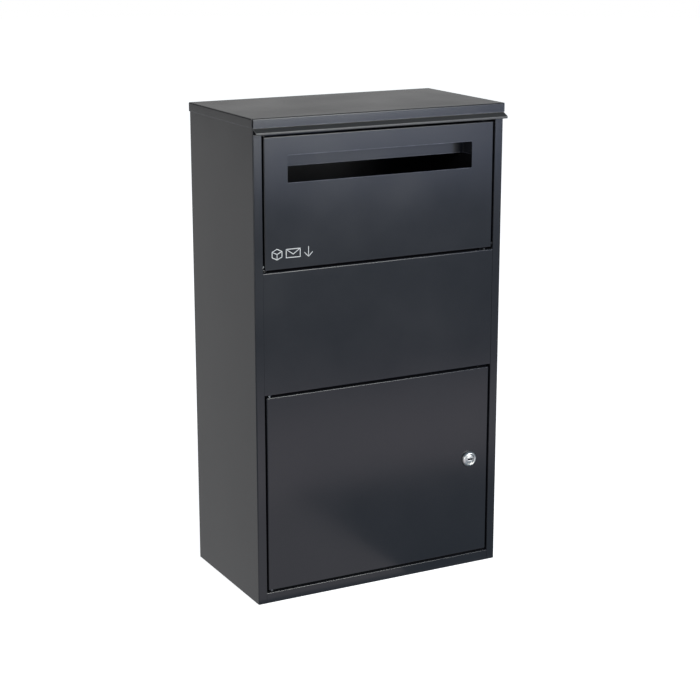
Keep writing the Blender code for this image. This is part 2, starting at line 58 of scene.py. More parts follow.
MM = 0.001
SHEET = 1.2 * MM              # thickness of the sheet steel
BEND = 1.1 * MM               # radius of a fold, on the middle of the sheet
SILL_BEND = 0.7 * MM          # the same for the sill
EDGE = 0.22 * MM              # rounding of a sheet's cut edges
ALMOST_STRAIGHT = 0.02        # in radians; a corner that turns less isn't rounded
DOOR_BEND = 1.3 * MM          # outer radius of the folds round the doors
GUARD_BEND = 1.4 * MM         # outer radius of the folds of the guard behind the slot
WELD_REACH = 0.27 * MM        # the middle panel and the sill reach this far over their left seam

# Lid and rain strip
LID_BEND = 1.5 * MM           # outer radius
LID_EDGE = 0.3 * MM
CORNER_GAP = 0.9 * MM         # open seam at the front corners of the lid
STRIP_SHEET = 1.0 * MM
STRIP_BEND = 0.7 * MM         # on the middle of the sheet
STRIP_DROP = 9.0 * MM         # from the top of the strip to its first fold

# Spot welds under the base
WELD_COLUMNS = 7
WELD_INSET = 9.0 * MM
WELD_R = 2.2 * MM
WELD_DEPTH = 0.25 * MM

# Letter slot, measured from the parcel door
SLOT_WIDTH = 273.4 * MM
SLOT_DROP = 24.9 * MM         # from the top of the door to the top of the slot
SLOT_HEIGHT = 35.0 * MM
SLOT_CORNER = 1.2 * MM

# Hopper tray: a lip behind the door, a slope at 45 degrees and a fold at its end
TRAY_LIP = 14.0 * MM
TRAY_SLOPE = 150.0 * MM
TRAY_FOLD = 10.0 * MM

# Hinges
BUSH_HOLE_R = 2.6 * MM        # hole in the cabinet's sheets for a bush
PIN_HOLE_R = 1.8 * MM         # hole in a door's fold for a pin
PIN_HEAD = 1.2 * MM
PIN_CHAMFER = 0.5 * MM
BUSH_BORE_R = 1.65 * MM
BUSH_SLEEVE_R = 2.3 * MM
BUSH_COLLAR = 0.6 * MM        # thickness of the collar
TIP_HEIGHT = 4.2 * MM         # hinge axis above the bottom edge of the parcel door
AXIS_DEPTH = 5.0 * MM         # hinge axes behind the front plane

# Return springs
WIRE_R = 0.4 * MM
COIL_R = 2.45 * MM            # on the middle of the wire
COIL_TURNS = 4.75
COIL_STEPS = 152
LEG_START = 3.0 * MM          # the moving leg is straight from this far above the axis

# Lock
LOCK_HOLE_R = 9.5 * MM
LOCK_BORE_R = 6.5 * MM
THREAD_R = 9.2 * MM
THREAD_ROOT_R = 8.75 * MM
THREAD_PITCH = 1.0 * MM
THREAD_TURNS = 11
NUT_CORNER_R = 13.0 * MM
BOLT_CORNER_R = 5.6 * MM
KEYWAY_WIDTH = 8.4 * MM
KEYWAY_HEIGHT = 2.1 * MM
KEYWAY_DEPTH = 3.0 * MM       # behind the front plane

# Wall bolt holes, measured from the corners of the back panel
HOLE_INSET = 63.5 * MM
HOLE_LOW = 78.5 * MM
HOLE_HIGH = 558.5 * MM
HOLE_R = 4.5 * MM

# Printed pictograms, measured from the lower left corner of the parcel door
PRINT_LEFT = 10.0 * MM
PRINT_RISE = 13.0 * MM
PRINT_STROKE = 0.9 * MM
PRINT_PROUD = 0.06 * MM
PRINT_SUNK = 0.10 * MM

COAT_COLOUR = (0.0150, 0.0153, 0.0185)

# Studio, in metres
FLOOR_R = 11.0
DOME_R = 12.0
FLOOR_Z = -0.2 * MM           # just under the object's feet
FLOOR_LIGHT_Z = -2.0 * MM     # the panels that shine up lie under the floor

# Camera
AZIMUTH = math.radians(-27.8)
ELEVATION = math.radians(14.74)
DISTANCE = 2.4288
LENS = 90.24                  # on a sensor 36 wide
AIM_SHIFT = Vector((0.0, -0.0045, -0.0158))   # from the middle of the CAD box

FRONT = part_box("parcel_door_skin")[0].y


# ---------------------------------------------------------------- paths and meshes

def turned_by(arm, angle):
    """The 2D arm turned by the angle."""
    cosine, sine = math.cos(angle), math.sin(angle)
    return Vector((arm.x * cosine - arm.y * sine, arm.x * sine + arm.y * cosine))


def rounded(path, radius, steps=6, closed=False):
    """The 2D path with its corners replaced by arcs of the given radius."""
    corners = [Vector(pair) for pair in path]
    count = len(corners)
    points = []
    for index, corner in enumerate(corners):
        if not closed and index in (0, count - 1):
            points.append(corner)
            continue
        before = corners[index - 1]
        after = corners[(index + 1) % count]
        into = (corner - before).normalized()
        out = (after - corner).normalized()
        turn = math.atan2(into.x * out.y - into.y * out.x, into.dot(out))
        if abs(turn) < ALMOST_STRAIGHT:
            points.append(corner)
            continue
        slope = math.tan(abs(turn) / 2)
        room = 0.48 * min((corner - before).length, (after - corner).length)
        back = min(radius * slope, room)
        normal = Vector((-into.y, into.x)) * math.copysign(back / slope, turn)
        start = corner - into * back
        centre = start + normal
        for step in range(steps + 1):
            points.append(centre + turned_by(start - centre, turn * step / steps))
    return points


def offset(points, distance, closed=False):
    """The path moved sideways, with mitred corners."""
    count = len(points)
    moved = []
    for index, here in enumerate(points):
        before = points[index - 1] if closed or index else here
        after = points[(index + 1) % count] if closed or index < count - 1 else here
        runs = [run.normalized() for run in (here - before, after - here) if run.length > 1e-9]
        normals = [Vector((-run.y, run.x)) for run in runs]
        mean = (normals[0] + normals[-1]).normalized()
        moved.append(here + mean * (distance / mean.dot(normals[0])))
    return moved


def along_x(u, v, w):
    return Vector((w, u, v))


def along_y(u, v, w):
    return Vector((u, w, v))


def along_z(u, v, w):
    return Vector((u, v, w))


def band(bm, path, thickness, place, start, end, closed=False):
    """Adds a band of even thickness that follows the path and is pulled from start to end."""
    sides = (offset(path, thickness / 2, closed), offset(path, -thickness / 2, closed))
    levels = [[[bm.verts.new(place(point.x, point.y, level)) for point in side] for side in sides]
              for level in (start, end)]
    (a_low, b_low), (a_high, b_high) = levels
    count = len(path)
    for index in range(count if closed else count - 1):
        after = (index + 1) % count
        bm.faces.new((a_low[index], a_low[after], a_high[after], a_high[index]))
        bm.faces.new((b_low[after], b_low[index], b_high[index], b_high[after]))
        bm.faces.new((b_low[index], b_low[after], a_low[after], a_low[index]))
        bm.faces.new((a_high[index], a_high[after], b_high[after], b_high[index]))
    if not closed:
        for index in (0, count - 1):
            bm.faces.new((a_low[index], a_high[index], b_high[index], b_low[index]))


def finished_mesh(bm, name):
    bmesh.ops.recalc_face_normals(bm, faces=bm.faces)
    mesh = bpy.data.meshes.new(name)
    bm.to_mesh(mesh)
    bm.free()
    mesh.shade_smooth()
    return mesh


def box_bmesh(low, high):
    bm = bmesh.new()
    bmesh.ops.create_cube(bm, size=1.0)
    bmesh.ops.scale(bm, vec=high - low, verts=bm.verts)
    bmesh.ops.translate(bm, vec=(low + high) / 2, verts=bm.verts)
    return bm


def lathe(bm, profile, centre, facing, steps=48, closed=False):
    """Adds a turned shape; profile holds (radius, height) pairs."""
    turn = Vector((0, 0, 1)).rotation_difference(Vector(facing)).to_matrix()
    rings = []
    for radius, height in profile:
        spokes = steps if radius > 1e-7 else 1
        rings.append([bm.verts.new(centre + turn @ Vector((
            radius * math.cos(math.tau * spoke / steps),
            radius * math.sin(math.tau * spoke / steps), height))) for spoke in range(spokes)])
    pairs = list(zip(rings, rings[1:]))
    if closed:
        pairs.append((rings[-1], rings[0]))
    for near, far in pairs:
        for spoke in range(steps):
            after = (spoke + 1) % steps
            corners = [near[spoke % len(near)], near[after % len(near)],
                       far[after % len(far)], far[spoke % len(far)]]
            bm.faces.new(list(dict.fromkeys(corners)))


# ---------------------------------------------------------------- pieces

def piece(name, data, finish, body, *nodes, slot=None):
    """Puts a new piece in the scene in place of the named nodes."""
    obj = bpy.data.objects.new(name, data)
    bpy.context.scene.collection.objects.link(obj)
    data.materials.clear()
    data.materials.append(finish)
    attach(obj, body)
    if nodes:
        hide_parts(*nodes)
    return obj


def soften(obj, width=EDGE, segments=2):
    """Rounds the cut edges and keeps the flat faces flat."""
    bevel = obj.modifiers.new("Edges", "BEVEL")
    bevel.width = width
    bevel.segments = segments
    bevel.limit_method = "ANGLE"
    bevel.angle_limit = math.radians(35)
    normals = obj.modifiers.new("Flat faces", "WEIGHTED_NORMAL")
    normals.keep_sharp = True


def settle(obj):
    """Turns the object's modifiers into its mesh."""
    bpy.context.view_layer.update()
    mesh = bpy.data.meshes.new_from_object(obj.evaluated_get(bpy.context.evaluated_depsgraph_get()))
    mesh.shade_smooth()
    obj.modifiers.clear()
    obj.data = mesh


def cut(obj, bm_list, inside=None):
    """Cuts closed shapes out of the object; inside is a finish for the cut faces."""
    tools = []
    for bm in bm_list:
        tool = bpy.data.objects.new("cutter", finished_mesh(bm, "cutter"))
        if inside:
            tool.data.materials.append(inside)
        bpy.context.scene.collection.objects.link(tool)
        boolean = obj.modifiers.new("Cut", "BOOLEAN")
        boolean.operation = "DIFFERENCE"
        boolean.solver = "EXACT"
        boolean.material_mode = "TRANSFER" if inside else "INDEX"
        boolean.object = tool
        tools.append(tool)
    settle(obj)
    for tool in tools:
        bpy.data.objects.remove(tool, do_unlink=True)


def round_tool(centre, facing, radius, length=10 * MM, steps=48):
    """A closed cylinder or prism, made as a cutter or as a blank."""
    bm = bmesh.new()
    bmesh.ops.create_cone(bm, cap_ends=True, segments=steps, radius1=radius, radius2=radius,
                          depth=length)
    turn = Vector((0, 0, 1)).rotation_difference(Vector(facing)).to_matrix().to_4x4()
    bmesh.ops.transform(bm, matrix=Matrix.Translation(centre) @ turn, verts=bm.verts)
    return bm


def folded(name, node, path, place, span, finish, body="cabinet", thickness=SHEET, bend=BEND,
           holes=()):
    """A bent sheet of constant section in place of a node."""
    bm = bmesh.new()
    band(bm, rounded(path, bend), thickness, place, *span)
    obj = piece(name, finished_mesh(bm, name), finish, body, node, slot="powder_coat")
    if holes:
        cut(obj, holes)
    soften(obj)


def sheet_from_faces(obj):
    """Gives an open surface the thickness of the sheet, towards its inside."""
    solidify = obj.modifiers.new("Sheet", "SOLIDIFY")
    solidify.thickness = SHEET
    solidify.offset = -1.0
    solidify.use_even_offset = True


def pan(name, node, open_sides, finish, body, bend=BEND + SHEET / 2, cuts=()):
    """A shallow box of bent sheet with rounded folds, with some sides open."""
    low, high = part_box(node)
    bm = box_bmesh(low, high)
    bmesh.ops.recalc_face_normals(bm, faces=bm.faces)
    gone = [face for face in bm.faces
            if any(face.normal.dot(Vector(side)) > 0.9 for side in open_sides)]
    bmesh.ops.delete(bm, geom=gone, context="FACES")
    folds = [edge for edge in bm.edges if len(edge.link_faces) == 2]
    bmesh.ops.bevel(bm, geom=folds, offset=bend, segments=6, profile=0.5, affect="EDGES")
    mesh = bpy.data.meshes.new(name)
    bm.to_mesh(mesh)
    bm.free()
    obj = piece(name, mesh, finish, body, node, slot="powder_coat")
    sheet_from_faces(obj)
    cut(obj, cuts)
    soften(obj)


def turned(name, node, profile, centre, facing, finish, body, slot, fillet=0.3 * MM, steps=48,
           closed=False):
    """A turned piece in place of a node."""
    bm = bmesh.new()
    shape = rounded(profile, fillet, 3, closed)
    lathe(bm, shape, centre, facing, steps, closed)
    obj = piece(name, finished_mesh(bm, name), finish, body, node, slot=slot)
    obj.modifiers.new("Flat faces", "WEIGHTED_NORMAL").keep_sharp = True
    return obj


# ---------------------------------------------------------------- finishes

def new_finish(name, colour, roughness, metallic=0.0):
    finish = bpy.data.materials.new(name)
    finish.use_nodes = True
    shader = finish.node_tree.nodes["Principled BSDF"]
    shader.inputs["Base Color"].default_value = (*colour, 1.0)
    shader.inputs["Roughness"].default_value = roughness
    shader.inputs["Metallic"].default_value = metallic
    return finish, shader


def place_of(tree):
    return tree.nodes.new("ShaderNodeTexCoord").outputs["Object"]


def noise(tree, where, scale, detail, stretch=None):
    """A noise value between 0 and 1, with scale in waves a metre."""
    if stretch is not None:
        mapping = tree.nodes.new("ShaderNodeMapping")
        mapping.inputs["Scale"].default_value = stretch
        tree.links.new(where, mapping.inputs["Vector"])
        where = mapping.outputs["Vector"]
    texture = tree.nodes.new("ShaderNodeTexNoise")
    texture.inputs["Scale"].default_value = scale
    texture.inputs["Detail"].default_value = detail
    tree.links.new(where, texture.inputs["Vector"])
    return texture.outputs["Fac"]


def remap(tree, value, low, high, to_low, to_high):
    node = tree.nodes.new("ShaderNodeMapRange")
    tree.links.new(value, node.inputs["Value"])
    for socket, number in (("From Min", low), ("From Max", high), ("To Min", to_low),
                           ("To Max", to_high)):
        node.inputs[socket].default_value = number
    return node.outputs["Result"]


def blend_colours(tree, factor, first, second):
    """Mixes two colours; each is a colour or a socket."""
    node = tree.nodes.new("ShaderNodeMix")
    node.data_type = "RGBA"
    tree.links.new(factor, node.inputs[0])
    for socket, colour in ((node.inputs[6], first), (node.inputs[7], second)):
        if isinstance(colour, bpy.types.NodeSocket):
            tree.links.new(colour, socket)
        else:
            socket.default_value = (*colour, 1.0)
    return node.outputs[2]


def multiply(tree, first, second):
    node = tree.nodes.new("ShaderNodeMath")
    node.operation = "MULTIPLY"
    tree.links.new(first, node.inputs[0])
    tree.links.new(second, node.inputs[1])
    return node.outputs[0]


def bump(tree, height, strength, distance, under=None):
    node = tree.nodes.new("ShaderNodeBump")
    node.inputs["Strength"].default_value = strength
    node.inputs["Distance"].default_value = distance
    tree.links.new(height, node.inputs["Height"])
    if under is not None:
        tree.links.new(under, node.inputs["Normal"])
    return node.outputs["Normal"]


def edge_mask(tree, radius, low, high):
    """1 on edges that run level, 0 on flat faces and upright edges; the coat's painted highlight goes
    on these edges.
    """
    bevel = tree.nodes.new("ShaderNodeBevel")
    bevel.samples = 8
    bevel.inputs["Radius"].default_value = radius
    geometry = tree.nodes.new("ShaderNodeNewGeometry")
    dot = tree.nodes.new("ShaderNodeVectorMath")
    dot.operation = "DOT_PRODUCT"
    tree.links.new(bevel.outputs["Normal"], dot.inputs[0])
    tree.links.new(geometry.outputs["Normal"], dot.inputs[1])
    parts = tree.nodes.new("ShaderNodeSeparateXYZ")
    tree.links.new(bevel.outputs["Normal"], parts.inputs[0])
    level = multiply(tree, parts.outputs["Z"], parts.outputs["Z"])
    return multiply(tree, remap(tree, dot.outputs["Value"], high, low, 0.0, 1.0),
                    remap(tree, level, 0.02, 0.20, 0.0, 1.0))


def tinted(colour, factor):
    return tuple(min(1.0, channel * factor) for channel in colour)


def powder_coat(name, colour, roughness, highlight_strength, reach):
    """Satin powder coat: fine orange peel, faint clouds and a painted highlight on edges that run
    level.
    """
    finish, shader = new_finish(name, colour, roughness)
    tree = finish.node_tree
    where = place_of(tree)
    cloud = noise(tree, where, 9.0, 4.0)
    grain = noise(tree, where, 1500.0, 2.0)
    peel = noise(tree, where, 320.0, 1.0)
    tone = blend_colours(tree, cloud, tinted(colour, 0.90), tinted(colour, 1.10))
    fleck = remap(tree, grain, 0.60, 0.74, 0.0, 0.35)
    tone = blend_colours(tree, fleck, tone, tinted(colour, 1.9))
    # painted highlight: edges that run level are lightened as if light caught them, more in some
    # places than others
    edge_highlight = multiply(tree, edge_mask(tree, reach, 0.92, 0.998),
                      remap(tree, noise(tree, where, 60.0, 3.0), 0.35, 0.75, 0.25, 1.0))
    scaled = remap(tree, edge_highlight, 0.0, 1.0, 0.0, highlight_strength)
    tone = blend_colours(tree, scaled, tone, tinted(colour, 9.0))
    tree.links.new(tone, shader.inputs["Base Color"])
    tree.links.new(remap(tree, cloud, 0.25, 0.75, roughness - 0.04, roughness + 0.05),
                   shader.inputs["Roughness"])
    normal = bump(tree, peel, 0.30, 0.05 * MM)
    tree.links.new(bump(tree, grain, 0.35, 0.02 * MM, normal), shader.inputs["Normal"])
    return finish


def brushed_metal(name, colour, roughness, stretch, scale, spangle=0.0):
    """Bare metal with fine tool marks that run one way."""
    finish, shader = new_finish(name, colour, roughness, 1.0)
    tree = finish.node_tree
    where = place_of(tree)
    marks = noise(tree, where, scale, 3.0, stretch)
    cloud = noise(tree, where, 120.0, 3.0)
    tone = blend_colours(tree, cloud, tinted(colour, 0.86 - spangle), tinted(colour, 1.06))
    tree.links.new(tone, shader.inputs["Base Color"])
    tree.links.new(remap(tree, marks, 0.2, 0.8, roughness - 0.06, roughness + 0.10),
                   shader.inputs["Roughness"])
    tree.links.new(bump(tree, marks, 0.25, 0.02 * MM), shader.inputs["Normal"])
    return finish


def moulded(name, colour, roughness, grain_scale, depth):
    """Plastic, rubber or ink with a fine grain."""
    finish, shader = new_finish(name, colour, roughness)
    tree = finish.node_tree
    where = place_of(tree)
    grain = noise(tree, where, grain_scale, 3.0)
    cloud = noise(tree, where, 40.0, 3.0)
    tone = blend_colours(tree, cloud, tinted(colour, 0.90), tinted(colour, 1.08))
    tree.links.new(tone, shader.inputs["Base Color"])
    tree.links.new(remap(tree, grain, 0.25, 0.75, roughness - 0.05, roughness + 0.07),
                   shader.inputs["Roughness"])
    tree.links.new(bump(tree, grain, 0.4, depth), shader.inputs["Normal"])
    return finish


# The last two numbers set the strength and reach of the painted highlight on level edges; the second
# coat is the copy with strong painted highlights
COAT = powder_coat("powder_coat_dark", COAT_COLOUR, 0.22, 0.08, 0.7 * MM)
COAT_EDGE_HIGHLIT = powder_coat("powder_coat_edge_highlight", COAT_COLOUR, 0.22, 0.9, 2.2 * MM)
STRIP = powder_coat("powder_coat_strip", (0.0560, 0.0550, 0.0550), 0.34, 0.5, 1.0 * MM)
ZINC = brushed_metal("zinc_plated", (0.62, 0.64, 0.68), 0.34, (1.0, 1.0, 6.0), 900.0, 0.06)
NICKEL = brushed_metal("nickel_plated", (0.80, 0.79, 0.77), 0.34, (1.0, 4.0, 1.0), 1500.0)
NYLON = moulded("nylon_black", (0.030, 0.030, 0.032), 0.50, 1800.0, 0.02 * MM)
# painted shade: near black for the keyway's cut faces, standing in for the shadow inside the keyway
KEYWAY_SHADE = moulded("keyway_shadow", (0.004, 0.004, 0.005), 0.85, 1800.0, 0.01 * MM)
RUBBER = moulded("rubber_black", (0.018, 0.018, 0.020), 0.80, 1200.0, 0.05 * MM)
INK = moulded("white_print", (0.82, 0.82, 0.82), 0.50, 2200.0, 0.01 * MM)


# ---------------------------------------------------------------- cabinet

def build_walls():
    half = SHEET / 2
    for label, side in (("left", -1), ("right", 1)):
        node = label + "_side_panel"
        low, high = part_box(node)
        outer, inner = (low.x, high.x) if side < 0 else (high.x, low.x)
        wall = outer - side * half
        path = [(wall, high.y), (wall, low.y + half), (inner, low.y + half)]
        folded(label + "_wall", node, path, along_z, (low.z, high.z), COAT)

        node = label + "_door_jamb"
        low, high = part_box(node)
        outer, inner = (low.x, high.x) if side < 0 else (high.x, low.x)
        fold = outer - side * half
        path = [(fold, low.y), (fold, high.y - half), (inner, high.y - half)]
        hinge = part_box("parcel_door_bush_" + label)
        hole = round_tool(Vector((fold, FRONT + AXIS_DEPTH, (hinge[0].z + hinge[1].z) / 2)),
                          (1, 0, 0), BUSH_HOLE_R)
        folded(label + "_stop_lip", node, path, along_z, (low.z, high.z), COAT, holes=[hole])


def build_back():
    low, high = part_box("back_panel")
    half = SHEET / 2
    face = high.y - half
    path = [(low.x + half, low.y), (low.x + half, face), (high.x - half, face),
            (high.x - half, low.y)]
    holes = [round_tool(Vector((x, face, low.z + rise)), (0, 1, 0), HOLE_R)
             for x in (low.x + HOLE_INSET, high.x - HOLE_INSET) for rise in (HOLE_LOW, HOLE_HIGH)]
    folded("back_sheet", "back_panel", path, along_z, (low.z, high.z), COAT, holes=holes)


def build_base():
    """The floor sheet, with rows of spot welds along its edges."""
    low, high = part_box("base_panel")
    bm = box_bmesh(low, high)
    base = piece("base_sheet", finished_mesh(bm, "base_sheet"), COAT, "cabinet", "base_panel",
                 slot="powder_coat")
    tools = []
    for column in range(WELD_COLUMNS):
        x = low.x + (high.x - low.x) * (column + 0.5) / WELD_COLUMNS
        for y in (low.y + WELD_INSET, high.y - WELD_INSET):
            tools.append(round_tool(Vector((x, y, low.z)), (0, 0, 1), WELD_R, 2 * WELD_DEPTH, 20))
    cut(base, tools)
    soften(base)


def build_front_rails():
    half = SHEET / 2
    low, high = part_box("bottom_rail")
    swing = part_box("collection_door_pin_low")
    swing_x = (swing[0].x + swing[1].x) / 2

    def bush_hole(z):
        return round_tool(Vector((swing_x, FRONT + AXIS_DEPTH, z)), (0, 0, 1), BUSH_HOLE_R)

    face = low.y + half
    path = [(high.y, high.z - half), (face, high.z - half), (face, low.z)]
    folded("sill", "bottom_rail", path, along_x, (low.x - WELD_REACH, high.x), COAT, bend=SILL_BEND,
           holes=[bush_hole(high.z)])
    low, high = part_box("middle_panel")
    path = [(high.y, low.z + half), (face, low.z + half), (face, high.z - half),
            (high.y, high.z - half)]
    folded("middle_front", "middle_panel", path, along_x, (low.x - WELD_REACH, high.x), COAT_EDGE_HIGHLIT,
           holes=[bush_hole(low.z)])
    low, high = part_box("header_rail")
    path = [(high.y, low.z + half), (face, low.z + half), (face, high.z)]
    folded("header", "header_rail", path, along_x, (low.x, high.x), COAT)


def build_lid():
    """The cover plate and its three rims, which leave open seams at the front corners."""
    low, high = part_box("top_lid")
    steps = 5
    left, right, front = low.x + LID_BEND, high.x - LID_BEND, low.y + LID_BEND
    bm = bmesh.new()

    def vert(x, y):
        return bm.verts.new((x, y, high.z))

    plate = [vert(left, front), vert(right, front), vert(right, front + CORNER_GAP),
             vert(right, high.y), vert(left, high.y), vert(left, front + CORNER_GAP)]
    bm.faces.new(plate)
    rims = ((plate[0], plate[1], (0, -1, 0)), (plate[2], plate[3], (1, 0, 0)),
            (plate[4], plate[5], (-1, 0, 0)))
    angles = [math.radians(90 * step / steps) for step in range(1, steps + 1)]
    drops = [(LID_BEND * math.sin(angle), LID_BEND * (1 - math.cos(angle))) for angle in angles]
    drops.append((LID_BEND, high.z - low.z))
    for first, second, outward in rims:
        row = (first, second)
        for reach, drop in drops:
            shift = Vector(outward) * reach - Vector((0, 0, drop))
            following = tuple(bm.verts.new(end.co + shift) for end in (first, second))
            bm.faces.new((row[0], row[1], following[1], following[0]))
            row = following
    obj = piece("lid", finished_mesh(bm, "lid"), COAT_EDGE_HIGHLIT, "cabinet", "top_lid", slot="powder_coat")
    sheet_from_faces(obj)
    settle(obj)
    soften(obj, LID_EDGE)
    merge = obj.modifiers.new("Merge", "WELD")
    merge.merge_threshold = 0.001 * MM
    obj.modifiers.move(2, 1)


def build_rain_strip():
    low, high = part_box("drip_rail")
    half = STRIP_SHEET / 2
    face = high.y - half
    lip = low.y + half
    path = [(face, high.z), (face, high.z - STRIP_DROP), (lip, low.z + 3.7 * MM),
            (lip, low.z + 1.3 * MM), (high.y - STRIP_SHEET, low.z + half)]
    folded("rain_strip", "drip_rail", path, along_x, (low.x, high.x), STRIP,
           thickness=STRIP_SHEET, bend=STRIP_BEND)


def build_baffle():
    low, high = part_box("anti_theft_baffle")
    face = high.y - SHEET / 2
    path = [(face, high.z), (face, high.z - 12 * MM), (low.y + SHEET / 3, low.z + SHEET / 3)]
    folded("reach_guard", "anti_theft_baffle", path, along_x, (low.x, high.x), COAT)


def build_bumpers():
    for node in ("parcel_door_bumper_left", "parcel_door_bumper_right",
                 "collection_door_bumper_low", "collection_door_bumper_high"):
        low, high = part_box(node)
        radius = (high.x - low.x) / 2
        height = high.y - low.y
        base = Vector(((low.x + high.x) / 2, high.y, (low.z + high.z) / 2))
        profile = [(0.0, height), (radius * 0.55, height * 0.97), (radius * 0.86, height * 0.72),
                   (radius, height * 0.30), (radius, 0.0), (0.0, 0.0)]
        name = node.replace("bumper", "buffer")
        turned(name, node, profile, base, (0, -1, 0), RUBBER, "cabinet", "rubber", 0.8 * MM, 32)


# ---------------------------------------------------------------- hinges

def turned_end(node, axis):
    """Centre of one end of a round node, its length and its radius; axis points along it."""
    low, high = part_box(node)
    axis = Vector(axis)
    middle = (low + high) / 2
    length = abs((high - low).dot(axis))
    across = [side for side, along in zip(high - low, axis) if abs(along) < 0.5]
    return middle - axis * (length / 2), length, max(across) / 2


def build_pin(name, node, direction, body):
    """A pin with a domed head at the start and a chamfered tip."""
    start, length, head = turned_end(node, direction)
    shank = head / 2
    profile = [(0.0, length), (shank * 0.7, length), (shank, length - PIN_CHAMFER),
               (shank, PIN_HEAD), (head, PIN_HEAD), (head, 0.55 * MM), (head * 0.7, 0.0),
               (0.0, 0.0)]
    turned(name, node, profile, start, direction, ZINC, body, "zinc_steel", 0.15 * MM, 32)


def build_bush(name, node, direction):
    """A flanged bush; direction points from the sleeve to the collar."""
    start, length, collar = turned_end(node, direction)
    shoulder = length - BUSH_COLLAR
    profile = [(BUSH_BORE_R, 0.0), (BUSH_BORE_R, length), (collar, length), (collar, shoulder),
               (BUSH_SLEEVE_R, shoulder), (BUSH_SLEEVE_R, 0.0)]
    turned(name, node, profile, start, direction, NYLON, "cabinet", "nylon", 0.18 * MM, 40, True)


def build_hinges():
    for label, side in (("left", -1), ("right", 1)):
        build_pin("tip_pin_" + label, "parcel_door_pin_" + label, (side, 0, 0), "parcel_door")
        build_bush("tip_bush_" + label, "parcel_door_bush_" + label, (-side, 0, 0))
        build_spring(label, side)
    for label, up in (("low", 1), ("high", -1)):
        build_pin("swing_pin_" + label, "collection_door_pin_" + label, (0, 0, -up),
                  "collection_door")
        build_bush("swing_bush_" + label, "collection_door_bush_" + label, (0, 0, up))


def build_spring(label, side):
    """The torsion spring that closes the parcel door."""
    node = "return_spring_" + label
    low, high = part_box(node)
    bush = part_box("parcel_door_bush_" + label)
    axis_z = (bush[0].z + bush[1].z) / 2
    axis_y = FRONT + AXIS_DEPTH
    near, far = low.x + WIRE_R, high.x - WIRE_R
    if side < 0:
        near, far = far, near
    path = [Vector((near, axis_y - COIL_R, high.z - WIRE_R)),
            Vector((near, axis_y - COIL_R, axis_z + LEG_START))]
    for step in range(COIL_STEPS + 1):
        along = step / COIL_STEPS
        angle = math.pi + math.tau * COIL_TURNS * along
        path.append(Vector((near + (far - near) * along, axis_y + COIL_R * math.cos(angle),
                            axis_z + COIL_R * math.sin(angle))))
    path.append(Vector((far, high.y - WIRE_R, axis_z + COIL_R)))
    path.append(Vector((far, high.y - WIRE_R, low.z)))
    curve = bpy.data.curves.new("spring_" + label, "CURVE")
    curve.dimensions = "3D"
    curve.bevel_depth = WIRE_R
    curve.bevel_resolution = 3
    curve.use_fill_caps = True
    spline = curve.splines.new("POLY")
    spline.points.add(len(path) - 1)
    for spline_point, place in zip(spline.points, path):
        spline_point.co = (*place, 1.0)
    spline.use_smooth = True
    piece("spring_" + label, curve, ZINC, "cabinet", node, slot="zinc_steel")


# ---------------------------------------------------------------- parcel door

def slot_tool(low, high):
    """The cutter of the letter slot, with rounded corners."""
    top = high.z - SLOT_DROP
    half = SLOT_WIDTH / 2
    outline = [(-half, top - SLOT_HEIGHT), (half, top - SLOT_HEIGHT), (half, top), (-half, top)]
    path = rounded(outline, SLOT_CORNER, 5, True)
    bm = bmesh.new()
    rings = [[bm.verts.new((point.x, y, point.y)) for point in path]
             for y in (low.y - 3 * MM, low.y + 3 * MM)]
    for index in range(len(path)):
        after = (index + 1) % len(path)
        bm.faces.new((rings[0][index], rings[0][after], rings[1][after], rings[1][index]))
    bm.faces.new(rings[0])
    bm.faces.new(rings[1])
    return bm


def build_parcel_door():
    low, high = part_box("parcel_door_skin")
    axis_z = low.z + TIP_HEIGHT
    holes = [round_tool(Vector((x, FRONT + AXIS_DEPTH, axis_z)), (1, 0, 0), PIN_HOLE_R, 6 * MM)
             for x in (low.x, high.x)]
    pan("parcel_door_front", "parcel_door_skin", [(0, 1, 0)], COAT_EDGE_HIGHLIT, "parcel_door",
        bend=DOOR_BEND, cuts=[slot_tool(low, high), *holes])
    build_hood()
    build_cheeks()
    build_tray()
    build_pictograms(low)
    for label, side in (("left", -1), ("right", 1)):
        node = "travel_stop_" + label
        start, length, radius = turned_end(node, (side, 0, 0))
        profile = [(0.0, length), (radius * 0.6, length), (radius, length - 0.8 * MM),
                   (radius, 0.8 * MM), (radius * 0.6, 0.0), (0.0, 0.0)]
        turned("stop_pad_" + label, node, profile, start, (side, 0, 0), RUBBER, "parcel_door",
               "rubber", 0.3 * MM, 32)


def build_hood():
    """The guard behind the letter slot, open to the front and below."""
    pan("slot_guard", "letter_slot_hood", [(0, -1, 0), (0, 0, -1)], COAT_EDGE_HIGHLIT, "parcel_door",
        bend=GUARD_BEND)


def build_cheeks():
    """Sector plates at the ends of the hopper."""
    for label in ("left", "right"):
        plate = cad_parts["hopper_cheek_" + label]
        plate.data.materials.clear()
        plate.data.materials.append(COAT)
        soften(plate, 0.2 * MM)


def build_tray():
    low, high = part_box("hopper_tray")
    face = low.y + SHEET / 2
    bend_z = high.z - TRAY_LIP
    reach = TRAY_SLOPE * math.sqrt(0.5)
    fold = TRAY_FOLD * math.sqrt(0.5)
    path = [(face, high.z), (face, bend_z), (face + reach, bend_z - reach),
            (face + reach - fold, bend_z - reach - fold)]
    folded("hopper_floor", "hopper_tray", path, along_x, (low.x, high.x), COAT, "parcel_door")


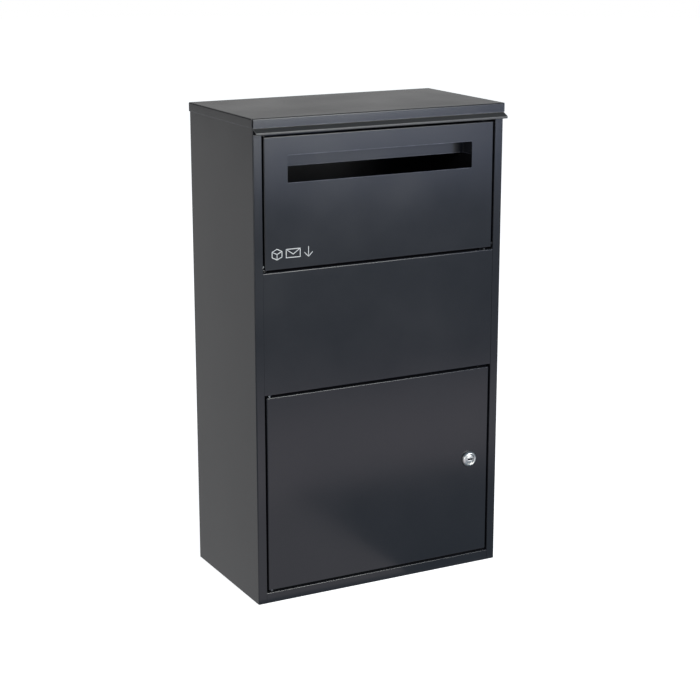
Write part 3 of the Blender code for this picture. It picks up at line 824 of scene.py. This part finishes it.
def build_pictograms(door_low):
    """Small printed line drawings of a box, an envelope and an arrow, in millimetres."""
    left = door_low.x + PRINT_LEFT
    base = door_low.z + PRINT_RISE
    box_rim = [(7.0, 0.0), (14.0, 3.4), (14.0, 10.6), (7.0, 14.0), (0.0, 10.6), (0.0, 3.4)]
    box_lid = [(0.0, 10.6), (7.0, 7.2), (14.0, 10.6)]
    box_corner = [(7.0, 7.2), (7.0, 0.0)]
    envelope = [(20.0, 1.5), (40.0, 1.5), (40.0, 12.5), (20.0, 12.5)]
    flap = [(20.0, 12.5), (30.0, 5.6), (40.0, 12.5)]
    arrow_shaft = [(52.0, 14.0), (52.0, 1.0)]
    arrow_head = [(46.0, 6.4), (52.0, 0.6), (58.0, 6.4)]
    drawings = ((box_rim, True), (box_lid, False), (box_corner, False), (envelope, True),
                (flap, False), (arrow_shaft, False), (arrow_head, False))
    bm = bmesh.new()
    for outline, closed in drawings:
        path = [Vector((left + u * MM, base + v * MM)) for u, v in outline]
        band(bm, path, PRINT_STROKE, along_y, door_low.y - PRINT_PROUD, door_low.y + PRINT_SUNK,
             closed)
    piece("door_pictograms", finished_mesh(bm, "door_pictograms"), INK, "parcel_door")


# ---------------------------------------------------------------- collection door and lock

def build_collection_door():
    low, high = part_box("collection_door_skin")
    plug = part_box("lock_plug")
    centre = Vector(((plug[0].x + plug[1].x) / 2, FRONT, (plug[0].z + plug[1].z) / 2))
    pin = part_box("collection_door_pin_low")
    pin_x = (pin[0].x + pin[1].x) / 2
    holes = [round_tool(Vector((pin_x, FRONT + AXIS_DEPTH, z)), (0, 0, 1), PIN_HOLE_R, 6 * MM)
             for z in (low.z, high.z)]
    pan("collection_door_front", "collection_door_skin", [(0, 1, 0)], COAT, "collection_door",
        bend=DOOR_BEND, cuts=[round_tool(centre, (0, 1, 0), LOCK_HOLE_R), *holes])
    build_lock(centre)


def build_lock(centre):
    """The lock body and its nut, which stay in the door, and the cylinder, cam and bolt that turn."""
    build_lock_body(centre)
    build_lock_nut(centre)
    build_lock_cylinder(centre)
    build_cam()
    build_cam_bolt(centre)


def build_lock_body(centre):
    """A domed rim round the bore, and a threaded barrel behind it."""
    thread = []
    for turn in range(THREAD_TURNS):
        depth = -2.2 * MM - turn * THREAD_PITCH
        thread += [(THREAD_R, depth), (THREAD_ROOT_R, depth - THREAD_PITCH / 2)]
    profile = [(LOCK_BORE_R, 3.9 * MM), (7.0 * MM, 5.05 * MM), (7.9 * MM, 5.25 * MM),
               (8.9 * MM, 4.75 * MM), (9.8 * MM, 3.8 * MM), (10.5 * MM, 2.6 * MM),
               (10.9 * MM, 1.3 * MM), (11.0 * MM, 0.3 * MM), (THREAD_R, 0.3 * MM),
               (THREAD_R, -1.8 * MM), *thread, (8.8 * MM, -14 * MM), (LOCK_BORE_R, -14 * MM)]
    turned("lock_body", "lock_housing", profile, centre, (0, -1, 0), NICKEL, "collection_door",
           "nickel", 0.9 * MM, 72, True)


def hexagon_blank(centre, node, corner_radius):
    """A six-sided prism round the lock's axis, as deep as the node."""
    low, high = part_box(node)
    middle = Vector((centre.x, (low.y + high.y) / 2, centre.z))
    return round_tool(middle, (0, 1, 0), corner_radius, high.y - low.y, 6)


def build_lock_nut(centre):
    hexagon = hexagon_blank(centre, "lock_nut", NUT_CORNER_R)
    nut = piece("lock_ring_nut", finished_mesh(hexagon, "lock_ring_nut"), ZINC, "collection_door",
                "lock_nut", slot="zinc_steel")
    cut(nut, [round_tool(centre + Vector((0, 3 * MM, 0)), (0, 1, 0), LOCK_HOLE_R, 20 * MM)])
    soften(nut, 0.5 * MM, 3)


def build_lock_cylinder(centre):
    """The cylinder with its keyway."""
    profile = [(0.0, 4.75 * MM), (2.6 * MM, 4.65 * MM), (4.6 * MM, 4.35 * MM),
               (5.9 * MM, 3.95 * MM), (6.2 * MM, 3.5 * MM), (6.2 * MM, -16.9 * MM),
               (3.5 * MM, -16.9 * MM), (3.5 * MM, -19.2 * MM), (0.0, -19.2 * MM)]
    plug = turned("lock_cylinder", "lock_plug", profile, centre, (0, -1, 0), NICKEL, "lock",
                  "nickel", 0.25 * MM, 64)
    plug.modifiers.clear()
    keyway = box_bmesh(centre - Vector((KEYWAY_WIDTH / 2, 6.0 * MM, KEYWAY_HEIGHT / 2)),
                       centre + Vector((KEYWAY_WIDTH / 2, KEYWAY_DEPTH, KEYWAY_HEIGHT / 2)))
    upright = [edge for edge in keyway.edges
               if abs((edge.verts[0].co - edge.verts[1].co).normalized().y) > 0.9]
    bmesh.ops.bevel(keyway, geom=upright, offset=KEYWAY_HEIGHT * 0.4, segments=3, profile=0.5,
                    affect="EDGES")
    # the keyway's cut faces get the near-black finish, a painted shadow
    cut(plug, [keyway], KEYWAY_SHADE)
    soften(plug, 0.18 * MM)


def build_cam():
    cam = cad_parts["lock_cam"]
    cam.data.materials.clear()
    cam.data.materials.append(ZINC)
    soften(cam, 0.3 * MM)


def build_cam_bolt(centre):
    head = hexagon_blank(centre, "cam_screw", BOLT_CORNER_R)
    bolt = piece("cam_bolt", finished_mesh(head, "cam_bolt"), ZINC, "lock", "cam_screw",
                 slot="zinc_steel")
    soften(bolt, 0.5 * MM, 3)


# ---------------------------------------------------------------- studio

def emission(name, colour, strength):
    finish = bpy.data.materials.new(name)
    finish.use_nodes = True
    tree = finish.node_tree
    tree.nodes.clear()
    glow = tree.nodes.new("ShaderNodeEmission")
    glow.inputs["Color"].default_value = (*colour, 1.0)
    glow.inputs["Strength"].default_value = strength
    output = tree.nodes.new("ShaderNodeOutputMaterial")
    tree.links.new(glow.outputs["Emission"], output.inputs["Surface"])
    return finish


def camera_only(obj):
    """The camera sees the object, and it neither lights nor shades anything."""
    obj.visible_diffuse = False
    obj.visible_glossy = False
    obj.visible_transmission = False
    obj.visible_volume_scatter = False
    obj.visible_shadow = False


def build_floor():
    """A plain pale floor and a white dome round it."""
    bm = bmesh.new()
    bmesh.ops.create_circle(bm, cap_ends=True, segments=96, radius=FLOOR_R)
    bmesh.ops.translate(bm, vec=(0, 0, FLOOR_Z), verts=bm.verts)
    floor = bpy.data.objects.new("floor", finished_mesh(bm, "floor"))
    bpy.context.scene.collection.objects.link(floor)
    finish, shader = new_finish("floor_paper", (0.75, 0.75, 0.75), 0.9)
    shader.inputs["Emission Color"].default_value = (1.0, 1.0, 1.0, 1.0)
    shader.inputs["Emission Strength"].default_value = 0.95
    floor.data.materials.append(finish)
    camera_only(floor)
    bm = bmesh.new()
    bmesh.ops.create_uvsphere(bm, u_segments=48, v_segments=24, radius=DOME_R)
    dome = bpy.data.objects.new("backdrop", finished_mesh(bm, "backdrop"))
    bpy.context.scene.collection.objects.link(dome)
    dome.data.materials.append(emission("backdrop_paper", (1.0, 1.0, 1.0), 1.0))
    camera_only(dome)


def build_world():
    """Soft surroundings, brighter behind the object than in front of it."""
    world = bpy.data.worlds.new("studio")
    bpy.context.scene.world = world
    world.use_nodes = True
    tree = world.node_tree
    ground = tree.nodes["Background"]
    where = tree.nodes.new("ShaderNodeTexCoord").outputs["Generated"]
    split = tree.nodes.new("ShaderNodeSeparateXYZ")
    tree.links.new(where, split.inputs[0])
    facing = remap(tree, split.outputs["Y"], -0.6, 0.9, 0.0, 1.0)
    colour = blend_colours(tree, facing, (0.16, 0.22, 0.28), (0.0, 0.0, 0.0))
    tree.links.new(colour, ground.inputs["Color"])


def soft_light(name, place, aim, width, height, brightness, colour=(1.0, 1.0, 1.0)):
    """A rectangular light panel; brightness is what a camera would see of it, 1 being white."""
    light = bpy.data.lights.new(name, "AREA")
    light.shape = "RECTANGLE"
    light.size = width
    light.size_y = height
    light.energy = brightness * math.pi * width * height
    light.color = colour
    obj = bpy.data.objects.new(name, light)
    bpy.context.scene.collection.objects.link(obj)
    obj.location = place
    obj.rotation_euler = (Vector(aim) - Vector(place)).to_track_quat("-Z", "Y").to_euler()
    obj.visible_camera = False


def floor_light(name, x, y, width, depth, brightness, colour=(1.0, 1.0, 1.0)):
    """A panel that shines up through the floor; the object mirrors it as pale ground."""
    soft_light(name, (x, y, FLOOR_LIGHT_Z), (x, y, 1.0), width, depth, brightness, colour)


def build_lights():
    soft_light("back_light", (0.6, 3.0, 1.2), (0.0, 0.0, 0.6), 4.0, 1.6, 0.43)
    floor_light("floor_bounce", -0.5, 3.45, 8.0, 7.1, 0.59)
    soft_light("front_light", (0.8, -2.3, 1.10), (0.0, -0.1, 0.6), 1.0, 1.2, 12.6,
               (1.0, 1.0, 0.92))
    soft_light("door_light", (0.50, -1.0, 0.70), (0.50, 0.0, 0.70), 0.7, 0.6, 1.4,
               (0.5, 0.6, 1.0))
    floor_light("low_bounce", 0.35, -0.72, 1.0, 0.46, 0.78, (1.0, 0.86, 0.90))
    floor_light("low_bounce_left", -0.17, -0.31, 0.44, 0.40, 0.50, (1.0, 0.88, 0.88))
    soft_light("left_light", (-1.9, -1.3, 0.5), (0.0, -0.1, 0.3), 1.1, 1.2, 2.2,
               (1.0, 0.97, 0.93))


def build_camera():
    low, high = CAD_BOX
    back = Vector((math.sin(AZIMUTH) * math.cos(ELEVATION),
                   -math.cos(AZIMUTH) * math.cos(ELEVATION), math.sin(ELEVATION)))
    camera = bpy.data.cameras.new("camera")
    camera.lens = LENS
    camera.sensor_width = 36.0
    obj = bpy.data.objects.new("camera", camera)
    bpy.context.scene.collection.objects.link(obj)
    obj.location = (low + high) / 2 + AIM_SHIFT + back * DISTANCE
    obj.rotation_euler = (-back).to_track_quat("-Z", "Y").to_euler()
    bpy.context.scene.camera = obj


def build_studio():
    bpy.context.scene.view_settings.view_transform = "Standard"
    build_floor()
    build_world()
    build_lights()
    build_camera()


build_walls()
build_back()
build_base()
build_front_rails()
build_lid()
build_rain_strip()
build_baffle()
build_bumpers()
build_hinges()
build_parcel_door()
build_collection_door()
build_studio()
